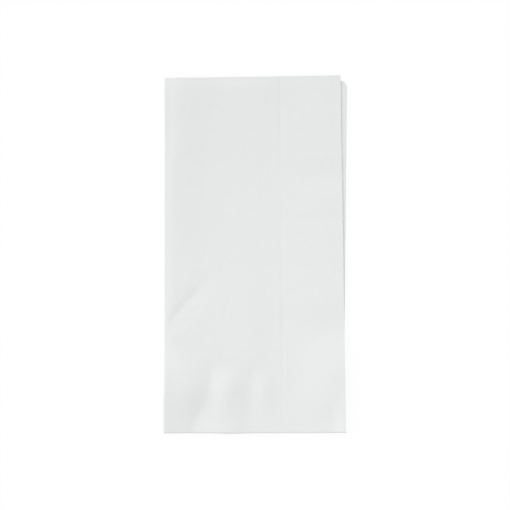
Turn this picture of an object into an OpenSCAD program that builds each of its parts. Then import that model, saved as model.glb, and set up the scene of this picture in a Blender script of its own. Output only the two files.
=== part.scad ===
// A paper dinner napkin as it lies on a table: one square sheet of two-ply tissue, folded in half,
// in half again beside the first fold, and once across, so that eight layers lie in a flat pile.
//
// The sheet is one strip of columns and rows. Its columns start at the raw edge of the top panel,
// pass round the lengthwise folds and end at the raw edge inside. Its rows start at the open end of
// the upper half, pass round the cross fold and end at the open end of the lower half.
// X runs across the pile from the second fold, Y runs up the pile from the cross fold, Z is up.

/* [Sheet] */
// Width of the open sheet, across the two lengthwise folds
sheet_w = 410.9; // [380:0.1:440]
// Length of the open sheet, along the lengthwise folds
sheet_l = 404.5; // [380:0.1:440]
// Thickness of the two-ply tissue
tissue_t = 0.16; // [0.12:0.01:0.25]
// Air between one pressed layer and the next
layer_gap = 0.06; // [0.05:0.01:0.2]

/* [Folds] */
// How far the first fold lies past the middle of the sheet's width
first_fold_off = 0.58; // [0:0.01:2]
// How far the second fold lies past the quarter of the width, where it meets the cross fold
second_fold_off = 0.88; // [-1:0.01:2]
// How far the cross fold lies past the middle of the sheet's length
cross_fold_off = 0.8; // [0:0.1:4]
// Lean of the raw edges against the second fold, in degrees
raw_lean = 0.9; // [0:0.05:1.2]
// Lean of the first fold against the second in the upper half, in degrees
upper_fold_lean = 0.5; // [0:0.05:1]
// Lean of the first fold against the second in the lower half, in degrees
lower_fold_lean = 0.2; // [0:0.05:1]
// Radius of the first fold's corners at the open ends
fold_corner_r = 3; // [1:0.5:4]

/* [Swelling of the upper half] */
// Height that the upper half's layers stand above their pressed height
loft_h = 0.4; // [0.2:0.05:1]
// Further height along the second fold
roll_h = 0.4; // [0:0.05:0.8]
// And further height there towards the open end
roll_top_h = 0.4; // [0:0.05:0.8]
// Width over which the roll along the second fold falls off
roll_w = 22; // [14:1:24]
// How far up the pile the roll starts and ends to grow
roll_y = [95, 150]; // [60:5:180]
// Further height beyond the lengthwise crease
outer_h = 0.6; // [0.45:0.05:0.9]
// Width over which the pile gains that height
outer_ramp_w = 34; // [28:1:36]
// Share of the swelling that lies between the two halves beside the raw edge
between_share = 0.85; // [0.3:0.05:0.9]
// Dips beyond the crease, up from the cross fold
dip_y = [60, 121, 146]; // [20:1:160]
// Half length of each dip
dip_half_l = [15, 6, 13]; // [5:1:20]
// Depth of each dip
dip_d = [0.45, 0.15, 0.45]; // [0:0.05:0.45]
// Height of the ridge behind the open end
end_ridge_h = 0.5; // [0:0.05:0.8]
// Width of the ridge's front
end_front_l = 5; // [4:0.5:8]
// Length over which the ridge falls off behind
end_ridge_l = 36; // [24:1:50]

/* [Corner where the folds meet] */
// Height that the pile gains in the corner where the second fold meets the cross fold
corner_h = 2.2; // [0:0.1:2.5]
// How far up the pile the corner stays full, and where it ends
corner_y = [26, 50]; // [20:1:60]
// Width of the corner at the cross fold
corner_w = 15.9; // [12:0.1:18]
// How much wider the corner gets for each millimetre up the pile
corner_slant = 0.4; // [0:0.05:0.45]
// How far the corner swells out past the second fold
corner_out = 0.25; // [0:0.05:0.8]

/* [Corner where the raw edge meets the cross fold] */
// Height that the pile gains there
lift_h = 1.1; // [0:0.1:1.2]
// Reach of that lift across the pile
lift_w = 26; // [20:1:32]
// How far up the pile it is full, and where it ends
lift_y = [27, 60]; // [20:1:80]
// Height by which the raw edge curls up there
curl_h = 0.8; // [0:0.1:1.2]
// Width of the curl
curl_w = 6; // [4:0.5:10]
// Reach of the curl up the pile
curl_l = 24; // [15:1:40]

/* [Top panel] */
// Air under the top panel
top_air = 0.35; // [0.3:0.05:0.6]
// Air that is left of it at the raw edge
edge_air = 0.06; // [0.03:0.01:0.2]
// Width over which it falls off towards the raw edge
edge_w = 22; // [15:1:30]
// Width of the shoulder from the second fold onto the top panel
shoulder_w = 4.5; // [3:0.5:6]
// How much wider the shoulder is in the corner
shoulder_corner_w = 12; // [0:1:14]
// Distance of the lengthwise crease from the panel's raw edge
crease_in = 35.5; // [30:0.5:42]
// Least depth of the crease
crease_d = 0.05; // [0:0.01:0.1]
// Width of each flank of the crease
crease_flank_w = 1.3; // [1:0.1:3]
// Places where the crease is deeper, up from the cross fold
deep_y = [66, 88, 182]; // [20:1:190]
// Half length of each such place
deep_half_l = [16, 9, 16]; // [6:1:20]
// Further depth of the crease at each
deep_d = [0.12, 0.09, 0.07]; // [0:0.01:0.15]

/* [Puckers above the cross fold] */
// Length of the puckers, up from the cross fold
pucker_l = 40; // [30:1:60]
// Length over which they start at their upper end
pucker_start_l = 16; // [10:1:25]
// Part of their height that they lose down at the cross fold
pucker_fade = 0.4; // [0:0.05:0.8]
// Length over which they lose it
pucker_fade_l = 20; // [10:1:30]
// Crest of the first pucker, which rises from the foot of the corner
pucker_1_x = 37; // [32:0.5:42]
// Width of its far flank
pucker_1_w = 10; // [8:0.5:14]
// Height of the first pucker
pucker_1_h = 1.5; // [0:0.1:2]
// Crest of the second pucker
pucker_2_x = 56.5; // [48:0.5:60]
// Half width of the second pucker
pucker_2_w = 8.5; // [6:0.5:12]
// Height of the second pucker
pucker_2_h = 0.5; // [0:0.1:1]

/* [Hidden] */

paper_white = [0.92, 0.925, 0.925];

// Spacing of two pressed layers, and each layer's level above the plane between the two halves
layer_pitch = tissue_t + layer_gap;
level_top = 3.5;
level_inner_raw = 2.5;
level_inner_fold = 1.5;
level_low = 0.5;
level_first_fold = (level_low + level_inner_fold) / 2;
level_second_fold = (level_low + level_top) / 2;

// Radii of the pressed lengthwise folds, measured to the middle of the tissue
outer_r = (level_top - level_low) / 2 * layer_pitch;
inner_r = (level_inner_raw - level_inner_fold) / 2 * layer_pitch;
first_r = (level_inner_fold - level_low) / 2 * layer_pitch;

// Flat widths of the panels at the cross fold: what is left of the sheet between the bends
first_at = sheet_w / 2 + first_fold_off;
second_at = sheet_w / 4 + second_fold_off;
quarter_turn = PI / 2;
top_w = second_at - quarter_turn * outer_r;
fold_w = first_at - second_at - quarter_turn * (outer_r + first_r);
inner_raw_w = sheet_w - first_at - quarter_turn * (first_r + 2 * inner_r) - fold_w;

// Lengths of the two halves, from the cross fold's bend to the open ends
bend_l = quarter_turn * level_top * layer_pitch;
upper_l = sheet_l / 2 + cross_fold_off - bend_l;
lower_l = sheet_l / 2 - cross_fold_off - bend_l;

crease_share = 1 - crease_in / top_w;
flank_share = crease_flank_w / top_w;

// Where the swelling beyond the crease starts, and where the halves start to part
outer_x = top_w - crease_in - outer_ramp_w / 4;
between_x = outer_x + 2;
between_ramp_w = 30;
between_y = 8;
between_ramp_l = 30;
even_share = 1 / (level_top + 0.5);

// The widening of the corner ends where the puckers stand, and the swelling out past the second fold
// is full up to the first of these and gone at the second
corner_slant_l = 24;
corner_out_y = [16, 28];
// Length over which the shoulder gets wider towards the corner
shoulder_corner_l = 20;

// The ridge behind the open end gets lower beyond this place, by this part of its height
end_ridge_x = 2 / 7 * top_w;
end_ridge_loss = 0.6;

// The lift beside the raw edge is full over this part of its reach
lift_flat = 0.2;

// How far the cross fold bulges at the first pucker
cross_bulge = 0.3;
cross_bulge_w = 14;

// Numbers of cells: across each stretch of the panels, round each fold and along the halves
shoulder_cols = 2;
pucker_cols = 17;
dip_cols = 8;
outer_fold_cols = 6;
inner_fold_cols = 4;
cross_fold_rows = 8;
near_rows = 15;
near_share = 0.3;
far_rows = 14;
far_share = 0.8;
end_rows = 4;

function smooth(t) = let (c = min(1, max(0, t))) c * c * (3 - 2 * c);
function bump(t) = abs(t) < 1 ? (1 + cos(180 * t)) / 2 : 0;
function sum(list) = list * [for (v = list) 1];
function steps(from, to, count) = [for (n = [1:count]) from + (to - from) * n / count];
function reversed(list) = [for (n = [len(list) - 1:-1:0]) list[n]];

// The shares of a panel's width at which its columns stand, from the second fold outwards
top_shares = concat(
    [0],
    steps(0, shoulder_w / top_w, shoulder_cols),
    steps(shoulder_w / top_w, crease_share - flank_share, pucker_cols),
    [crease_share, crease_share + flank_share],
    steps(crease_share + flank_share, 1, dip_cols)
);
hidden_shares = concat(
    [for (x = [0, shoulder_w, corner_w, shoulder_w + roll_w, outer_x, outer_x + outer_ramp_w / 2])
        x / fold_w],
    [for (in = [fold_corner_r, fold_corner_r / 3, 0]) 1 - in / fold_w]
);

// A column is [share of the panel's width, distance past the panel's end, level, lean, flat width,
// 1 on the top panel]. Lean is -1 on the panels that end in a raw edge and 1 on the other two.
function panel(shares, level, lean, w, top) = [for (s = shares) [s, 0, level, lean, w, top]];
function turn(share, r, mid, from, to, lean, w, cells) = [
    for (n = [1:cells - 1])
        let (a = 180 * n / cells, half = (to - from) / 2)
        [share, (share > 0 ? 1 : -1) * r * sin(a), mid - half * cos(a), lean, w, 0]
];
columns = concat(
    panel(reversed(top_shares), level_top, -1, top_w, 1),
    turn(0, outer_r, level_second_fold, level_top, level_low, 1, fold_w, outer_fold_cols),
    panel(hidden_shares, level_low, 1, fold_w, 0),
    turn(1, first_r, level_first_fold, level_low, level_inner_fold, 1, fold_w, inner_fold_cols),
    panel(reversed(hidden_shares), level_inner_fold, 1, fold_w, 0),
    turn(0, inner_r, level_second_fold, level_inner_fold, level_inner_raw, -1, inner_raw_w,
        inner_fold_cols),
    panel(hidden_shares, level_inner_raw, -1, inner_raw_w, 0)
);

// A row is [half, share of the half's length, angle round the cross fold]
upper_shares = concat(
    steps(0, near_share, near_rows),
    steps(near_share, far_share, far_rows),
    steps(far_share, 1 - end_front_l / upper_l, end_rows),
    [1]
);
rows = concat(
    [for (s = reversed(upper_shares)) [1, s, 0]],
    [for (n = [0:cross_fold_rows]) [n < cross_fold_rows ? 1 : -1, 0, 180 * n / cross_fold_rows]],
    [[-1, 1, 180]]
);

// How much the upper half stands above its pressed height
function corner(x, y) = corner_h
    * min(1, max(0, 1 - x / (corner_w + corner_slant * min(y, corner_slant_l))))
    * smooth((corner_y[1] - y) / (corner_y[1] - corner_y[0]));
function roll(x, y) = smooth(1 - (x - shoulder_w) / roll_w)
    * (roll_h + roll_top_h * smooth((y - roll_y[0]) / (roll_y[1] - roll_y[0])));
function outer(x, y) = smooth((x - outer_x) / outer_ramp_w) * (outer_h - sum([
    for (n = [0:len(dip_y) - 1]) dip_d[n] * bump((y - dip_y[n]) / dip_half_l[n])
]));
function end_ridge(x, in) = end_ridge_h
    * (1 - end_ridge_loss * smooth((x - end_ridge_x) / (top_w - end_ridge_x)))
    * smooth(in / end_front_l) * smooth(1 - (in - end_front_l) / end_ridge_l);
function lift(x, y) = lift_h * smooth(1 + lift_flat - (top_w - x) / lift_w)
    * smooth((lift_y[1] - y) / (lift_y[1] - lift_y[0]));
function swell(x, y) = loft_h + corner(x, y) + roll(x, y) + outer(x, y) + end_ridge(x, upper_l - y)
    + lift(x, y);

// Part of that which lies between the two halves; the upper half's layers share the rest
function between(x, y) = even_share + (between_share - even_share)
    * smooth((x - between_x) / between_ramp_w) * smooth((y - between_y) / between_ramp_l);

// What raises the top panel over the layers below it
function puckers(x, y) = smooth((pucker_l - y) / pucker_start_l)
    * (1 - pucker_fade * smooth(1 - y / pucker_fade_l))
    * (pucker_1_h * bump((x - pucker_1_x) / (x > pucker_1_x ? pucker_1_w
            : pucker_1_x - corner_w - corner_slant * min(y, corner_slant_l)))
        + pucker_2_h * bump((x - pucker_2_x) / pucker_2_w));
function curl(x, y) = curl_h * smooth(1 - (top_w - x) / curl_w) * smooth(1 - y / curl_l);
function crease(y, share) = max(0, 1 - abs(share - crease_share) / flank_share) * (crease_d + sum([
    for (n = [0:len(deep_y) - 1]) deep_d[n] * bump((y - deep_y[n]) / deep_half_l[n])
]));
function top_rise(x, y, share) =
    let (
        corner_near = smooth((corner_y[1] - y) / shoulder_corner_l),
        air = top_air - (top_air - edge_air) * smooth(1 - (top_w - x) / edge_w)
    )
    smooth(x / (shoulder_w + shoulder_corner_w * corner_near))
        * (air + puckers(x, y) + curl(x, y) - crease(y, share));

// How far the rounded corner of the first fold draws a column's end back
function corner_back(x, w) =
    let (in = max(0, x - w + fold_corner_r))
    fold_corner_r - sqrt(max(0, pow(fold_corner_r, 2) - pow(in, 2)));

// The middle of the tissue at a column and a row
function place(c, r) =
    let (
        slope = tan(c[3] < 0 ? raw_lean : r[0] > 0 ? upper_fold_lean : lower_fold_lean),
        nominal = c[0] * c[4],
        end_l = (r[0] > 0 ? upper_l : lower_l) - c[3] * nominal * slope
            - (c[3] > 0 ? corner_back(nominal, c[4]) : 0),
        y = r[1] * end_l,
        flat_x = c[0] * (c[4] + c[3] * y * slope),
        // the cross fold stays pressed: the swelling lifts its upper quarter straight up
        raised = r[2] < 90 ? 1 : r[2] > 90 ? 0 : 0.5,
        more = raised * swell(flat_x, y),
        held = between(flat_x, y),
        // a lengthwise fold that holds swollen layers stands out by a third of what it gains in height
        layer_share = (1 - held) / (level_top - level_low),
        x = flat_x + c[1] * (1 + more * layer_share / layer_pitch / 3),
        rise = more * (held + layer_share * (c[2] - level_low))
            + (c[5] > 0 ? raised * top_rise(x, y, c[0]) : 0),
        past = c[2] * layer_pitch * (1 + cross_bulge / (level_top * layer_pitch)
            * bump((x - pucker_1_x) / cross_bulge_w)),
        out = corner_out * smooth((corner_out_y[1] - y) / (corner_out_y[1] - corner_out_y[0]))
            * smooth(1 - x / corner_out_y[1])
    )
    [
        x - out,
        y - past * sin(r[2]),
        tissue_t / 2 + layer_pitch * (level_top + c[2] * cos(r[2])) + rise
    ];

grid = [for (c = columns) [for (r = rows) place(c, r)]];
last_col = len(columns) - 1;
last_row = len(rows) - 1;

// The way that the tissue faces at a point, from the points around it
function facing(i, j) =
    let (
        across = grid[min(i + 1, last_col)][j] - grid[max(i - 1, 0)][j],
        along = grid[i][min(j + 1, last_row)] - grid[i][max(j - 1, 0)],
        n = cross(across, along)
    )
    n / norm(n);
function skin(side) = [
    for (i = [0:last_col], j = [0:last_row]) grid[i][j] + side * tissue_t / 2 * facing(i, j)
];
points = concat(skin(1), skin(-1));

function at(i, j, side) = i * (last_row + 1) + j + (side > 0 ? 0 : len(points) / 2);
function quad(a, b, c, d) = [[a, b, c], [a, c, d]];
faces = concat(
    [for (i = [0:last_col - 1], j = [0:last_row - 1])
        each quad(at(i, j, 1), at(i, j + 1, 1), at(i + 1, j + 1, 1), at(i + 1, j, 1))],
    [for (i = [0:last_col - 1], j = [0:last_row - 1])
        each quad(at(i, j, -1), at(i + 1, j, -1), at(i + 1, j + 1, -1), at(i, j + 1, -1))],
    [for (j = [0:last_row - 1])
        each quad(at(0, j, 1), at(0, j, -1), at(0, j + 1, -1), at(0, j + 1, 1))],
    [for (j = [0:last_row - 1])
        each quad(at(last_col, j, 1), at(last_col, j + 1, 1), at(last_col, j + 1, -1),
            at(last_col, j, -1))],
    [for (i = [0:last_col - 1])
        each quad(at(i, 0, 1), at(i + 1, 0, 1), at(i + 1, 0, -1), at(i, 0, -1))],
    [for (i = [0:last_col - 1])
        each quad(at(i, last_row, 1), at(i, last_row, -1), at(i + 1, last_row, -1),
            at(i + 1, last_row, 1))]
);

// The pile's middle, seen from above
function middle(axis) =
    let (v = [for (p = points) p[axis]])
    (min(v) + max(v)) / 2;

module napkin() {
    color(paper_white)
        translate([-middle(0), -middle(1), 0])
            polyhedron(points = points, faces = faces, convexity = 10);
}

napkin();
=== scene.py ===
import math
import bmesh
import bpy
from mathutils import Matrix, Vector, noise


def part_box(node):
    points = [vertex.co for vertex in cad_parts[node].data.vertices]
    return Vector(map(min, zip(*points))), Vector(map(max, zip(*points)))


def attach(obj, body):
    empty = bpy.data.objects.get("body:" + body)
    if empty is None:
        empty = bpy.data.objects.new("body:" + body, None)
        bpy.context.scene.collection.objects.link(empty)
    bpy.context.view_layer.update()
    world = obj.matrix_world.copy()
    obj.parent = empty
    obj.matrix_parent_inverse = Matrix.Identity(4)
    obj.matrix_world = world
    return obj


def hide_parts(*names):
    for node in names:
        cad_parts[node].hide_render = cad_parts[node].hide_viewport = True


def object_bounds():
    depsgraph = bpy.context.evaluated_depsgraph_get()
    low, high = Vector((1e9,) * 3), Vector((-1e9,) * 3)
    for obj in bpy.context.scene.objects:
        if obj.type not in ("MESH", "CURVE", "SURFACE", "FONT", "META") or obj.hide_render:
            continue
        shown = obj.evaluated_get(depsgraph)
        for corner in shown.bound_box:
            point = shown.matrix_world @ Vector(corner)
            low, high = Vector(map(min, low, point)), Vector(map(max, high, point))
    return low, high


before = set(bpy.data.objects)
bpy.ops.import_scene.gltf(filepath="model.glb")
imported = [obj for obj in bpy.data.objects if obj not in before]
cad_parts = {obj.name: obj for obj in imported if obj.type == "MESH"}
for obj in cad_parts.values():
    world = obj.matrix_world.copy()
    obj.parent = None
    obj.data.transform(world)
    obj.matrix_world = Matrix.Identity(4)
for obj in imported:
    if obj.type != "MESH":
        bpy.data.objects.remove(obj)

# a paper dinner napkin: one sheet of two-ply tissue, folded twice lengthwise and once across
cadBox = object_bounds()
napkinLow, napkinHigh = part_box("napkin")
middle = (Vector(cadBox[0]) + Vector(cadBox[1])) / 2
mm = 0.001


# small helpers

def hexToLinear(code):
    channels = [int(code[k:k + 2], 16) / 255 for k in (1, 3, 5)]
    return [c / 12.92 if c <= 0.04045 else ((c + 0.055) / 1.055) ** 2.4 for c in channels] + [1]


def addNode(tree, kind, settings=(), inputs=()):
    # settings are the node's own properties, inputs are sockets given a value or a link
    node = tree.nodes.new(kind)
    for name, value in dict(settings).items():
        setattr(node, name, value)
    for name, value in dict(inputs).items():
        if isinstance(value, bpy.types.NodeSocket):
            tree.links.new(value, node.inputs[name])
        else:
            node.inputs[name].default_value = value
    return node


def newMaterial(name):
    material = bpy.data.materials.new(name)
    material.use_nodes = True
    material.node_tree.nodes.clear()
    return material, material.node_tree


def seenByEye(tree):
    # 1 where the camera sees it, straight, mirrored or through something, and 0 for light on its way
    rays = addNode(tree, "ShaderNodeLightPath").outputs
    seen = addNode(tree, "ShaderNodeMath", {"operation": "MAXIMUM"},
                   {0: rays["Is Camera Ray"], 1: rays["Is Glossy Ray"]})
    seen = addNode(tree, "ShaderNodeMath", {"operation": "MAXIMUM"},
                   {0: seen.outputs[0], 1: rays["Is Transmission Ray"]})
    return seen.outputs[0]


def smooth(t):
    t = min(1, max(0, t))
    return t * t * (3 - 2 * t)


def ramp(at, places):
    # rises smoothly from 0 at the first place to 1 at the second, which may be the lower one
    start, full = places
    return smooth((at - start) / (full - start))


def bump(t):
    return (1 + math.cos(math.pi * t)) / 2 if abs(t) < 1 else 0


def groove(beside, left, right):
    # a sharp crease of depth 1, with its own width on each side
    return max(0, 1 - abs(beside) / (left if beside < 0 else right))


def patches(x, y, size, seed):
    return noise.noise(Vector((x, y, 0)) / size + Vector(seed))


def alongLine(points, at):
    # straight lines through the points, level before the first and past the last
    for (x0, y0), (x1, y1) in zip(points, points[1:]):
        if at < x1:
            return y0 + (y1 - y0) * max(0, at - x0) / (x1 - x0)
    return points[-1][1]


def slope(degrees):
    return math.tan(math.radians(degrees))


def steps(start, end, count):
    return [start + (end - start) * n / count for n in range(1, count + 1)]


# camera, light and floor

shot = {
    "width": 290.5 * mm,      # of the picture at the napkin's top, from the pile's own length
    "aim": (0, -0.3 * mm),    # from the napkin's middle
    "height": 2.0,            # metres
    "sensor": 36,             # mm, as the lens
}
cameraData = bpy.data.cameras.new("overheadCamera")
cameraData.sensor_width = shot["sensor"]
cameraData.lens = shot["sensor"] * (shot["height"] - napkinHigh[2]) / shot["width"]
camera = bpy.data.objects.new("overheadCamera", cameraData)
camera.location = (middle.x + shot["aim"][0], middle.y + shot["aim"][1], shot["height"])
bpy.context.collection.objects.link(camera)
bpy.context.scene.camera = camera

light = {
    "share": 0.2,       # part of the level on a flat surface that the window gives
    "elevation": 25,    # degrees above the table
    "from": 135,        # degrees round from +X, so the upper left of the picture
    "softness": 60,     # degrees that the window spans
    "boxShare": 0.1,    # part that the soft box over the lower right gives, the rest is the room
    "boxAt": (0.15, -0.25, 0.7), "boxSize": 0.3,
}
windowData = bpy.data.lights.new("window", "SUN")
windowData.angle = math.radians(light["softness"])
windowData.energy = math.pi * light["share"] / math.sin(math.radians(light["elevation"]))
window = bpy.data.objects.new("window", windowData)
window.rotation_euler = (0, math.radians(90 - light["elevation"]), math.radians(light["from"]))
bpy.context.collection.objects.link(window)

# an area light's power for that share on a flat surface, by its distance and slant
boxAt = Vector(light["boxAt"])
boxData = bpy.data.lights.new("softBox", "AREA")
boxData.size = light["boxSize"]
boxData.energy = math.pi ** 2 * light["boxShare"] * boxAt.length ** 4 / boxAt.z ** 2
softBox = bpy.data.objects.new("softBox", boxData)
softBox.location = boxAt
bpy.context.collection.objects.link(softBox)

world = bpy.data.worlds.new("room")
world.use_nodes = True
world.node_tree.nodes.clear()
bpy.context.scene.world = world
tree = world.node_tree
roomShare = 1 - light["share"] - light["boxShare"]
roomLight = addNode(tree, "ShaderNodeBackground", (), {"Color": (1, 1, 1, 1), "Strength": roomShare})
whitePaper = addNode(tree, "ShaderNodeBackground", (), {"Color": (1, 1, 1, 1), "Strength": 1})
either = addNode(tree, "ShaderNodeMixShader", (),
                 {0: seenByEye(tree), 1: roomLight.outputs[0], 2: whitePaper.outputs[0]})
addNode(tree, "ShaderNodeOutputWorld", (), {"Surface": either.outputs[0]})
bpy.context.scene.view_settings.view_transform = "Standard"
print("camera and light are set")


def buildTable():
    table = {
        "half": 2.0,         # metres from the middle to its edge
        "drop": 0.02 * mm,   # below the napkin
        "white": 0.92,       # part of what the eye sees that is burnt out, the rest takes the shadow
        "board": 0.9,        # how much light it throws back at the napkin
    }
    bm = bmesh.new()
    bmesh.ops.create_grid(bm, x_segments=1, y_segments=1, size=table["half"])
    bmesh.ops.translate(bm, verts=bm.verts, vec=(0, 0, napkinLow[2] - table["drop"]))
    mesh = bpy.data.meshes.new("whiteTable")
    bm.to_mesh(mesh)
    bm.free()
    obj = bpy.data.objects.new("whiteTable", mesh)
    bpy.context.collection.objects.link(obj)

    # matt white board, burnt out to white for the eye but still taking the napkin's shadow
    material, tree = newMaterial("whiteBoard")
    board = addNode(tree, "ShaderNodeBsdfDiffuse", (), {"Color": [table["board"]] * 3 + [1]})
    shaded = addNode(tree, "ShaderNodeBsdfDiffuse", (), {"Color": (1, 1, 1, 1)})
    glow = addNode(tree, "ShaderNodeEmission", (), {"Color": (1, 1, 1, 1), "Strength": 1})
    shown = addNode(tree, "ShaderNodeMixShader", (),
                    {0: table["white"], 1: shaded.outputs[0], 2: glow.outputs[0]})
    both = addNode(tree, "ShaderNodeMixShader", (),
                   {0: seenByEye(tree), 1: board.outputs[0], 2: shown.outputs[0]})
    addNode(tree, "ShaderNodeOutputMaterial", (), {"Surface": both.outputs[0]})
    mesh.materials.append(material)
    print("table is set")


buildTable()


# the napkin's one sheet, in mm and degrees: x runs from the second fold and y from the cross fold,
# and a pair of places is where something starts and where it is full, as ramp takes it

sheet = {
    # how it is cut and folded, as the solid is
    "width": 410.6, "length": 404.5,              # open, across and along the lengthwise folds
    "tissue": 0.16, "air": 0.06,                  # both plies, and what lies between pressed layers
    "firstFoldOff": 0.43, "secondFoldOff": 0.955, "crossFoldOff": 0.66,   # off middle, quarter, middle
    "cutLean": 0.9, "foldLean": 0.55, "lowerFoldLean": 0.2,   # cut edges, first fold above and below
    "foldCorner": 2.5,                            # the first fold's corners at the open end are round

    # cells across the top panel, a hidden panel and the bends, then along it
    "shoulderCells": 5, "bodyCells": 58, "flankCells": 3, "outerCells": 32,
    "hiddenShoulderCells": 3, "hiddenBodyCells": 12, "hiddenCornerCells": 4,
    "bendCells": 12, "smallBendCells": 8,
    "upperCells": 196, "crossCells": 16, "lowerCells": 40,

    # how much the upper half stands above its pressed height
    "loft": 0.1,
    "roll": 0.4, "rollWidth": 22,                 # along the second fold
    "rollTop": 0.4, "rollTopRise": (95, 150),     # more of it further up
    "rollIn": 3.5, "nearEnd": (150, 168),         # and wider close to the open end
    "belly": 0.6, "bellyRise": (4, 42), "bellyFall": (170, 60),   # fuller over the middle
    "ledge": 0.65, "ledgeRight": (62, 44),        # and just past the puckers
    "ledgeRise": (28, 44), "ledgeFall": (110, 50),
    "corner": 2.2, "cornerReach": (50, 28),       # thick where the second fold meets the cross fold
    "cornerMore": 0.45, "cornerMoreRise": (4, 26),            # it gets thicker, and fuller, up the pile
    "cornerFoot": [(0, 14.4), (8.5, 17.9), (15.4, 22.1), (18.8, 23.2), (26, 25), (40, 26)],   # y, x
    "bowMore": 0.45, "bowMoreRise": (8, 32), "bowLess": 0.65, "bowLessRise": (34, 46),
    "outer": 0.7, "outerRise": (-8.5, 25.5),      # from the long crease on
    "outerFade": 0.6, "outerFadeReach": (20, 0),
    "dips": [(60, 15, 0.45), (121, 6, 0.15), (146, 13, 0.45)],   # there: y, half length, depth
    "end": 0.9, "endRise": (41, 5),               # a ridge behind the open end, from that end
    "endFront": 0.35, "endFrontReach": (5, 0),    # part that it loses at its front
    "endRight": 0.1, "endRightReach": (48, 76),   # and what is left of it at the right
    "lift": 1.2, "liftUp": (57, 31),              # the cut edge's strip lifts near the cross fold
    "liftIn": (31.2, 5.2), "liftFade": 0.7, "liftFadeReach": (26, 0),
    "between": 0.85, "betweenOut": (60, 90), "betweenUp": (8, 38),   # there the half lifts off as one
    "foldOut": 1 / 3,       # part of its gain in height by which a fold round swollen layers stands out

    # what lifts the top panel alone
    "shoulder": 4.5, "shoulderCorner": 12, "shoulderReach": (50, 30),   # slower near the thick corner
    "topAir": 0.35, "endAir": 0.3,                # all over, and more close to the open end
    "edgeAir": 0.06, "edgeReach": (60, 0),        # down to this at its cut edge
    "curl": 1.4, "curlIn": (8, 0), "curlUp": (26, 0),   # the cut edge turns up near the cross fold
    "puckerReach": (41, 23), "puckerNear": (25, 5),
    # beside the thick corner: x, left and right width (0: to that corner's foot), rise and drop, and
    # both at the cross fold
    "puckers": [(34.5, 0, 15.5, 0.95, 1.9, 1.25, 1.25), (56, 7, 10.5, 0.6, 0.6, 0.05, 0.1)],

    # the long crease, in from the cut edge, and its deep places: y, half length, depth and both widths
    "creaseIn": 35.5, "creaseFlank": 1.3, "creaseDepth": 0.05,
    "deepPlaces": [(43, 9, 0.09, 5, 1.3), (65, 15, 0.15, 1.2, 5), (90, 12, 0.08, 1.3, 4),
                   (110, 9, 0.09, 5, 1.3), (178, 12, 0.08, 1.3, 3), (195, 14, 0.1, 1.3, 4)],
    # strokes from x, y to x, y, with left and right width, taper at the far end and depth
    "strokes": [(0, 60.3, 18.5, 80.7, 3.8, 11, 9, 0.42), (0, 60.3, 8, 69.2, 3.4, 9, 6, 0.15),
                (8, 70, 26, 88, 9, 8, 12, 0.28), (9, 60, 21, 72.5, 1.5, 1.5, 1.5, 0.14),
                (33.2, 64.4, 36.6, 78, 1.5, 1.5, 1.5, 0.12), (20.6, 50, 26.5, 56, 1.5, 1.5, 1.5, 0.12),
                (0, 30, 7, 31, 1.5, 1.5, 1.5, 0.14), (22, 96, 24, 104, 1.6, 1.6, 1.6, 0.12)],

    # how the second fold, the cross fold and the cut edges stray from their lines
    "cornerOut": 0.5, "cornerOutUp": (28, 16), "cornerOutIn": (28, 0),   # out at the thick corner
    "crossBulge": 0.3, "bulgeAt": 38, "bulgeHalf": 14,                   # out at the puckers
    "crossTuck": 0.3, "tuckAt": 106, "tuckHalf": 24, "tuckUp": (15, 0),  # in beside the cut edge
    "cutWander": 0.12, "cutPatch": 30, "endSeed": 0.5, "sideSeed": 2,
    "sidePower": 8,         # how soon that dies away across the panel

    # layers lie unevenly on each other in patches, and the top one is crumpled
    "looseness": 0.05, "loosePatch": 45, "looseRise": (0, 18), "looseSeed": (3.1, 9.7),
    "crumple": 0.07, "crumplePatch": 24, "crumpleSeed": (5, 2, 8),
    "fineCrumple": 0.035, "finePatch": 9, "fineSeed": (1, 4, 3),
    "crumpleIn": (0, 9),
}

# levels of the four layers in a half, in pitches from the plane between the halves
halfLayers = 4
lowLevel, innerFoldLevel, innerRawLevel, topLevel = [layer + 0.5 for layer in range(halfLayers)]
pitch = sheet["tissue"] + sheet["air"]
outerRadius = (topLevel - lowLevel) / 2 * pitch
smallRadius = pitch / 2

# the panels' widths and lengths are what the bends leave of the sheet
quarterTurn = math.pi / 2
firstAt = sheet["width"] / 2 + sheet["firstFoldOff"]
secondAt = sheet["width"] / 4 + sheet["secondFoldOff"]
topWidth = secondAt - quarterTurn * outerRadius
foldWidth = firstAt - secondAt - quarterTurn * (outerRadius + smallRadius)
innerRawWidth = sheet["width"] - firstAt - foldWidth - 3 * quarterTurn * smallRadius   # 1.5 bends
crossBend = quarterTurn * topLevel * pitch
upperLength = sheet["length"] / 2 + sheet["crossFoldOff"] - crossBend
lowerLength = sheet["length"] / 2 - sheet["crossFoldOff"] - crossBend
creaseShare = 1 - sheet["creaseIn"] / topWidth


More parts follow.
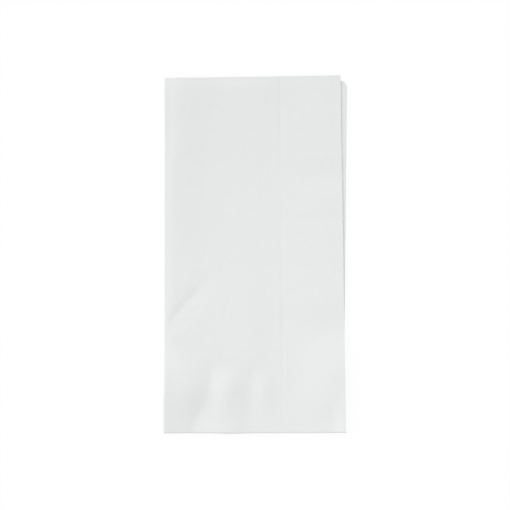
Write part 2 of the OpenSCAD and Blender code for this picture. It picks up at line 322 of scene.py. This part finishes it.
def layOutColumns():
    # each column: share of its panel's width, distance past it, level, lean, that width, whether it is
    # on top, and its place across the open sheet
    shoulder = sheet["shoulder"] / topWidth
    flank = sheet["creaseFlank"] / topWidth
    cornerStart = 1 - 2 * sheet["foldCorner"] / foldWidth
    top = [0] + steps(0, shoulder, sheet["shoulderCells"])
    top += steps(shoulder, creaseShare - flank, sheet["bodyCells"])
    top += steps(creaseShare - flank, creaseShare, sheet["flankCells"])
    top += steps(creaseShare, creaseShare + flank, sheet["flankCells"])
    top += steps(creaseShare + flank, 1, sheet["outerCells"])
    hidden = [0] + steps(0, shoulder, sheet["hiddenShoulderCells"])
    hidden += steps(shoulder, cornerStart, sheet["hiddenBodyCells"])
    hidden += steps(cornerStart, 1, sheet["hiddenCornerCells"])
    columns = []
    across = 0

    def panel(shares, level, lean, width, onTop=False):
        nonlocal across
        for share in shares:
            columns.append({"share": share, "past": 0, "level": level, "lean": lean, "width": width,
                            "onTop": onTop, "across": across + abs(share - shares[0]) * width})
        across += width

    def turn(share, radius, fromLevel, toLevel, lean, width, cells):
        nonlocal across
        centre, half = (fromLevel + toLevel) / 2, (toLevel - fromLevel) / 2
        for n in range(1, cells):
            angle = math.pi * n / cells
            columns.append({"share": share, "past": (1 if share else -1) * radius * math.sin(angle),
                            "level": centre - half * math.cos(angle), "lean": lean, "width": width,
                            "onTop": False, "across": across + radius * angle})
        across += radius * math.pi

    panel(top[::-1], topLevel, -1, topWidth, onTop=True)
    turn(0, outerRadius, topLevel, lowLevel, 1, foldWidth, sheet["bendCells"])
    panel(hidden, lowLevel, 1, foldWidth)
    turn(1, smallRadius, lowLevel, innerFoldLevel, 1, foldWidth, sheet["smallBendCells"])
    panel(hidden[::-1], innerFoldLevel, 1, foldWidth)
    turn(0, smallRadius, innerFoldLevel, innerRawLevel, -1, innerRawWidth, sheet["smallBendCells"])
    panel(hidden, innerRawLevel, -1, innerRawWidth)
    return columns


def layOutRows():
    # each row: half, share of its length, angle round the cross fold, part of the swelling that it
    # takes, and its place along the open sheet
    cells = sheet["crossCells"]
    rows = [{"half": 1, "share": share, "angle": 0, "raised": 1, "along": upperLength * (1 - share)}
            for share in [1] + steps(1, 0, sheet["upperCells"])]
    for n in range(1, cells):
        # the cross fold stays pressed: its upper quarter is lifted whole, its lower quarter not at all
        rows.append({"half": 1, "share": 0, "angle": math.pi * n / cells,
                     "raised": min(1, max(0, cells / 2 - n + 0.5)),
                     "along": upperLength + 2 * crossBend * n / cells})
    rows += [{"half": -1, "share": share, "angle": math.pi, "raised": 0,
              "along": upperLength + 2 * crossBend + lowerLength * share}
             for share in [0] + steps(0, 1, sheet["lowerCells"])]
    return rows


def rollIn(y):
    return sheet["rollIn"] * ramp(y, sheet["nearEnd"])


def swell(x, y):
    # how much the upper half stands above its pressed height, shared by its four layers
    height = sheet["loft"]
    # along the second fold, over the middle and past the puckers
    roll = sheet["roll"] + sheet["rollTop"] * ramp(y, sheet["rollTopRise"])
    height += roll * smooth(1 - (x - sheet["shoulder"] - rollIn(y)) / sheet["rollWidth"])
    height += sheet["belly"] * ramp(y, sheet["bellyRise"]) * ramp(y, sheet["bellyFall"])
    ledge = sheet["ledge"] * ramp(y, sheet["ledgeRise"]) * ramp(y, sheet["ledgeFall"])
    height += ledge * ramp(x, sheet["ledgeRight"])

    # the thick corner falls to its foot in a bow, the fuller the higher its power
    bow = 1 + sheet["bowMore"] * ramp(y, sheet["bowMoreRise"])
    bow -= sheet["bowLess"] * ramp(y, sheet["bowLessRise"])
    corner = sheet["corner"] + sheet["cornerMore"] * ramp(y, sheet["cornerMoreRise"])
    corner *= 1 - min(1, max(0, x / alongLine(sheet["cornerFoot"], y))) ** bow
    height += corner * ramp(y, sheet["cornerReach"])

    # beyond the long crease the strip stands higher, with dips
    outer = sheet["outer"]
    for at, half, depth in sheet["dips"]:
        outer -= depth * bump((y - at) / half)
    outer *= 1 - sheet["outerFade"] * ramp(y, sheet["outerFadeReach"])
    height += outer * ramp(x - topWidth + sheet["creaseIn"], sheet["outerRise"])

    # a ridge behind the open end
    fromEnd = upperLength - y
    ridge = sheet["end"] * ramp(fromEnd, sheet["endRise"])
    ridge *= 1 - sheet["endFront"] * ramp(fromEnd, sheet["endFrontReach"])
    height += ridge * (1 - (1 - sheet["endRight"]) * ramp(x, sheet["endRightReach"]))

    # and the cut edge's strip lifts near the cross fold
    lift = sheet["lift"] * (1 - sheet["liftFade"] * ramp(y, sheet["liftFadeReach"]))
    return height + lift * ramp(topWidth - x, sheet["liftIn"]) * ramp(y, sheet["liftUp"])


def shareBetween(x, y):
    # part of the swelling that lies between the two halves
    even = 1 / halfLayers
    return even + (sheet["between"] - even) * ramp(x, sheet["betweenOut"]) * ramp(y, sheet["betweenUp"])


def heightAt(level, x, y, more, held):
    # height above the plane between the halves; layers keep their order, each with its own air under it
    height = 0
    xSeed, zSeed = sheet["looseSeed"]
    for layer in range(halfLayers):
        # this layer's pitch as far as the level, and of the lowest one only the half above the plane
        part = min(1, max(0, level + 0.5 - layer)) if layer else min(0.5, level)
        if part <= 0:
            break
        uneven = patches(x, y, sheet["loosePatch"], (xSeed * layer, 1 if more else -1, zSeed * layer))
        height += part * (pitch + sheet["looseness"] * uneven * ramp(x, sheet["looseRise"]))
    return height + more * (held + (1 - held) * (level - lowLevel) / (topLevel - lowLevel))


def strokeDepth(x, y):
    depth = 0
    for x0, y0, x1, y1, left, right, taper, deep in sheet["strokes"]:
        line = Vector((x1 - x0, y1 - y0))
        length = line.length
        line /= length
        along = (x - x0) * line.x + (y - y0) * line.y
        beside = (x - x0) * line.y - (y - y0) * line.x
        # it fades half before and half past each end
        ends = smooth(along / left + 0.5) * smooth((length - along) / taper + 0.5)
        depth += deep * groove(beside, left, right) * ends
    return depth


def puckerHeight(x, y):
    # small folds that run out up the top panel, the far side of the first much deeper than its near side
    height = 0
    near = ramp(y, sheet["puckerNear"])
    for at, left, right, rise, drop, nearRise, nearDrop in sheet["puckers"]:
        rise += (nearRise - rise) * near
        drop += (nearDrop - drop) * near
        if x > at:
            height += drop * bump((x - at) / right)
        else:
            width = left or at - alongLine(sheet["cornerFoot"], y)
            height += drop - rise + rise * bump((x - at) / width)
    return height * ramp(y, sheet["puckerReach"])


def topRise(x, y, share):
    # what lifts the top panel over the layers below it
    fromCut = topWidth - x
    air = sheet["topAir"] + sheet["endAir"] * ramp(y, sheet["nearEnd"])
    rise = air + (sheet["edgeAir"] - air) * ramp(fromCut, sheet["edgeReach"])
    rise += puckerHeight(x, y)
    rise += sheet["curl"] * ramp(fromCut, sheet["curlIn"]) * ramp(y, sheet["curlUp"])
    beside = (share - creaseShare) * topWidth
    rise -= sheet["creaseDepth"] * groove(beside, sheet["creaseFlank"], sheet["creaseFlank"])
    for at, half, deep, left, right in sheet["deepPlaces"]:
        rise -= deep * bump((y - at) / half) * groove(beside, left, right)
    rise -= strokeDepth(x, y)
    crumple = sheet["crumple"] * patches(x, y, sheet["crumplePatch"], sheet["crumpleSeed"])
    crumple += sheet["fineCrumple"] * patches(x, y, sheet["finePatch"], sheet["fineSeed"])
    rise += crumple * ramp(fromCut, sheet["crumpleIn"])
    shoulder = sheet["shoulder"] + rollIn(y) + sheet["shoulderCorner"] * ramp(y, sheet["shoulderReach"])
    return smooth(x / shoulder) * rise


def wander(*place):
    # a guillotined edge isn't quite straight
    return sheet["cutWander"] * noise.noise(Vector(place))


def foldedPlace(column, row):
    # lean is -1 on panels that end in a cut edge and 1 on the two beside the first fold
    share, level, lean = column["share"], column["level"], column["lean"]
    upper = row["half"] > 0
    nominal = share * column["width"]
    # the cut end is one straight line on the open sheet, so it leans as much either side of a fold
    end = (upperLength if upper else lowerLength) - lean * nominal * slope(sheet["cutLean"])
    if lean > 0:
        into = max(0, nominal - column["width"] + sheet["foldCorner"])
        end -= sheet["foldCorner"] - math.sqrt(max(0, sheet["foldCorner"] ** 2 - into ** 2))
    end += wander(column["across"] / sheet["cutPatch"], sheet["endSeed"], row["half"])
    y = row["share"] * end
    degrees = sheet["cutLean"] if lean < 0 else sheet["foldLean"] if upper else sheet["lowerFoldLean"]
    x = share * (column["width"] + lean * y * slope(degrees))

    more = row["raised"] * swell(x, y)
    held = shareBetween(x, y)
    x += column["past"] * (1 + sheet["foldOut"] * more * (1 - held) / (topLevel - lowLevel) / pitch)
    if lean < 0:
        stray = wander(level, row["along"] / sheet["cutPatch"], sheet["sideSeed"])
        x += share ** sheet["sidePower"] * stray

    # a layer turns round the cross fold at its pressed height and is then lifted straight up
    pressed = heightAt(level, x, y, 0, held)
    lifted = heightAt(level, x, y, more, held) - pressed
    if column["onTop"] and row["raised"]:
        lifted += row["raised"] * topRise(x, y, share)
    plane = sheet["tissue"] / 2 + heightAt(topLevel, x, y, 0, held)
    height = plane + pressed * math.cos(row["angle"]) + lifted
    bulge = sheet["crossBulge"] * bump((x - sheet["bulgeAt"]) / sheet["bulgeHalf"])
    past = level * (pitch + bulge / topLevel) * math.sin(row["angle"])
    tuck = sheet["crossTuck"] * bump((x - sheet["tuckAt"]) / sheet["tuckHalf"]) * ramp(y, sheet["tuckUp"])
    out = sheet["cornerOut"] * ramp(y, sheet["cornerOutUp"]) * ramp(x, sheet["cornerOutIn"])
    return Vector((x - out, y + tuck - past, height))


def foldNapkin():
    columns = layOutColumns()
    rows = layOutRows()
    bm = bmesh.new()
    # a flat sheet of cells, one unit wide, then every corner is moved to where the folds take it
    bmesh.ops.create_grid(bm, x_segments=len(columns) - 1, y_segments=len(rows) - 1, size=0.5)
    uvLayer = bm.loops.layers.uv.new("openSheet")
    placed = {}
    for vert in bm.verts:
        i = round((vert.co.x + 0.5) * (len(columns) - 1))
        j = round((0.5 - vert.co.y) * (len(rows) - 1))
        placed[vert] = (i, j)
        vert.co = foldedPlace(columns[i], rows[j]) * mm
    for face in bm.faces:
        face.smooth = True
        for loop in face.loops:
            i, j = placed[loop.vert]
            loop[uvLayer].uv = (columns[i]["across"] * mm, rows[j]["along"] * mm)
    for edge in bm.edges:
        edge.smooth = not edge.is_boundary    # a cut edge is sharp, so it isn't shaded round
    lowest = [min(v.co[k] for v in bm.verts) for k in (0, 1)]
    highest = [max(v.co[k] for v in bm.verts) for k in (0, 1)]
    bmesh.ops.translate(bm, verts=bm.verts, vec=(middle.x - (lowest[0] + highest[0]) / 2,
                                                 middle.y - (lowest[1] + highest[1]) / 2, napkinLow[2]))
    mesh = bpy.data.meshes.new("foldedNapkin")
    bm.to_mesh(mesh)
    bm.free()
    napkin = bpy.data.objects.new("foldedNapkin", mesh)
    bpy.context.collection.objects.link(napkin)
    thick = napkin.modifiers.new("tissue", "SOLIDIFY")
    thick.thickness = sheet["tissue"] * mm
    thick.offset = 0
    thick.use_even_offset = True
    thick.use_quality_normals = True
    print("napkin is folded:", len(columns), "columns,", len(rows), "rows")
    return napkin


napkin = foldNapkin()


# bleached two-ply tissue: soft matt white, cloudy fibre, fine crepe

def bleachedTissue():
    tissue = {
        "white": "#E8EAE9", "thin": "#E6E8E7",    # where more and where fewer fibres lie
        "cloud": 3.5, "fibre": 0.9,               # mm, formation clouds and fibre clumps
        "thinnest": 0.35, "thickest": 0.65,       # of the two patterns' mean
        "crepe": 0.9, "crepeHeight": 0.02,        # mm; real crepe is about 0.4 mm, too fine to show here
        "crepeWander": 6, "crepeStrength": 0.4,
        "roughness": 0.9, "shine": 0.2,
    }
    material, tree = newMaterial("bleachedTissue")
    # the map holds the open sheet in metres, so a pattern runs on over every fold
    sheetMap = addNode(tree, "ShaderNodeUVMap", {"uv_map": "openSheet"})
    cloud = addNode(tree, "ShaderNodeTexNoise", (), {"Vector": sheetMap.outputs[0],
                                                     "Scale": 1 / (tissue["cloud"] * mm), "Detail": 2})
    fibre = addNode(tree, "ShaderNodeTexNoise", (), {"Vector": sheetMap.outputs[0],
                                                     "Scale": 1 / (tissue["fibre"] * mm), "Detail": 3,
                                                     "Roughness": 0.6})
    both = addNode(tree, "ShaderNodeMix", {"data_type": "FLOAT"},
                   {"Factor": 0.5, "A": cloud.outputs["Fac"], "B": fibre.outputs["Fac"]})
    spread = addNode(tree, "ShaderNodeMapRange", (), {"Value": both.outputs[0],
                                                      "From Min": tissue["thinnest"],
                                                      "From Max": tissue["thickest"]})
    # the mix node's sockets 6 and 7 are its two colours
    colour = addNode(tree, "ShaderNodeMix", {"data_type": "RGBA"},
                     {"Factor": spread.outputs[0], 6: hexToLinear(tissue["thin"]),
                      7: hexToLinear(tissue["white"])})
    # at a scale of 1 the wave's bands are pi / 10 apart
    crepe = addNode(tree, "ShaderNodeTexWave", {"bands_direction": "Y"},
                    {"Vector": sheetMap.outputs[0], "Scale": math.pi / (10 * tissue["crepe"] * mm),
                     "Distortion": tissue["crepeWander"], "Detail": 2, "Detail Scale": 1.5})
    relief = addNode(tree, "ShaderNodeMix", {"data_type": "FLOAT"},
                     {"Factor": 0.5, "A": crepe.outputs["Fac"], "B": fibre.outputs["Fac"]})
    raised = addNode(tree, "ShaderNodeBump", (), {"Strength": tissue["crepeStrength"],
                                                  "Distance": tissue["crepeHeight"] * mm,
                                                  "Height": relief.outputs[0]})
    surface = addNode(tree, "ShaderNodeBsdfPrincipled", (),
                      {"Base Color": colour.outputs[2], "Roughness": tissue["roughness"],
                       "Specular IOR Level": tissue["shine"], "Normal": raised.outputs[0]})
    addNode(tree, "ShaderNodeOutputMaterial", (), {"Surface": surface.outputs[0]})
    return material


napkin.data.materials.append(bleachedTissue())
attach(napkin, "root")
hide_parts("napkin")
print("napkin is finished")
